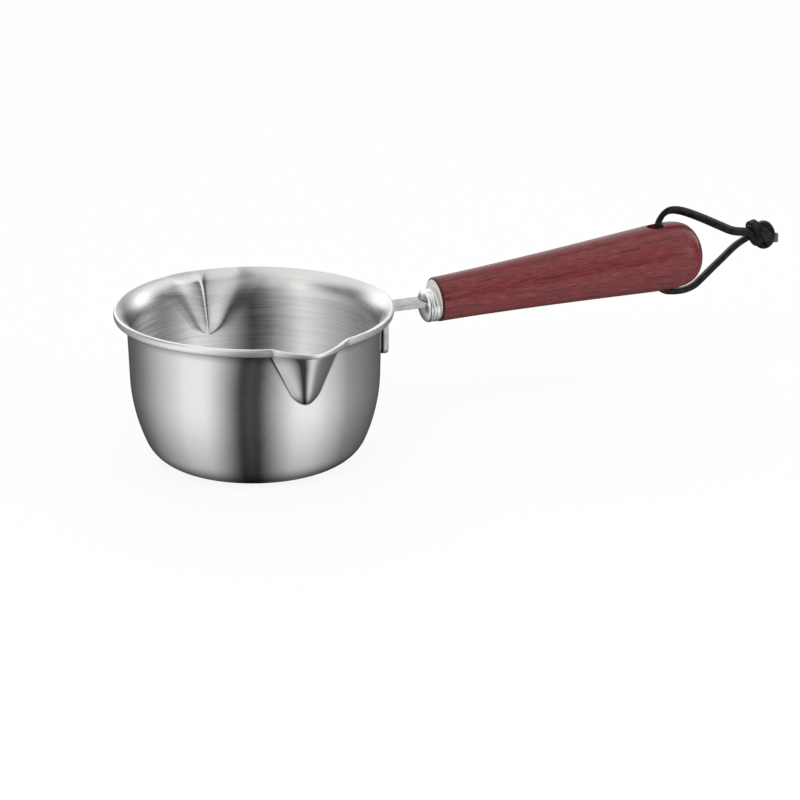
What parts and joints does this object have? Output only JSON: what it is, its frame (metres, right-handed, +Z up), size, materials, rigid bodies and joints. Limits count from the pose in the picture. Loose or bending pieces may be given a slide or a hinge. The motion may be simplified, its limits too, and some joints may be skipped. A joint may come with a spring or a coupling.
{
  "type": "butter warmer",
  "caption": "Small round steel pan with a flared rim and opposed pouring spouts, a tapered wooden handle on a steel strap, and a knotted leather hanging loop; warms and pours butter or milk.",
  "frame": {"origin": "centre of the underside of the flat base, where the pan stands", "axes": "+X along the handle, away from the pan; +Z up; the spouts point along +Y and -Y"},
  "size_m": [0.2914, 0.1168, 0.0834],
  "materials": {
    "pan_steel": "stainless steel, satin polished outside, finely brushed round the inside, bright rim",
    "strap_steel": "stainless strip, satin",
    "ferrule_steel": "pressed stainless cap, polished",
    "handle_wood": "red-brown hardwood with fine lengthwise grain, satin lacquer",
    "loop_leather": "black leather lace, matt with a soft sheen on its flat side"
  },
  "bodies": {
    "pan": {"pan_body": "pan_steel", "handle_strap": "strap_steel", "ferrule": "ferrule_steel", "wood_handle": "handle_wood"},
    "hanging_loop": {"cord_bore_stretch": "loop_leather", "cord_upper_stretch": "loop_leather", "cord_lower_stretch": "loop_leather", "cord_knot": "loop_leather"}
  },
  "joints": [
    {"name": "loop_swing", "type": "hinge", "parent": "pan", "child": "hanging_loop", "pos_m": [0.17778, 0, 0.06204], "axis": [-0.0645, 0, 0.9979], "range_deg": [-110, 110]}
  ]
}
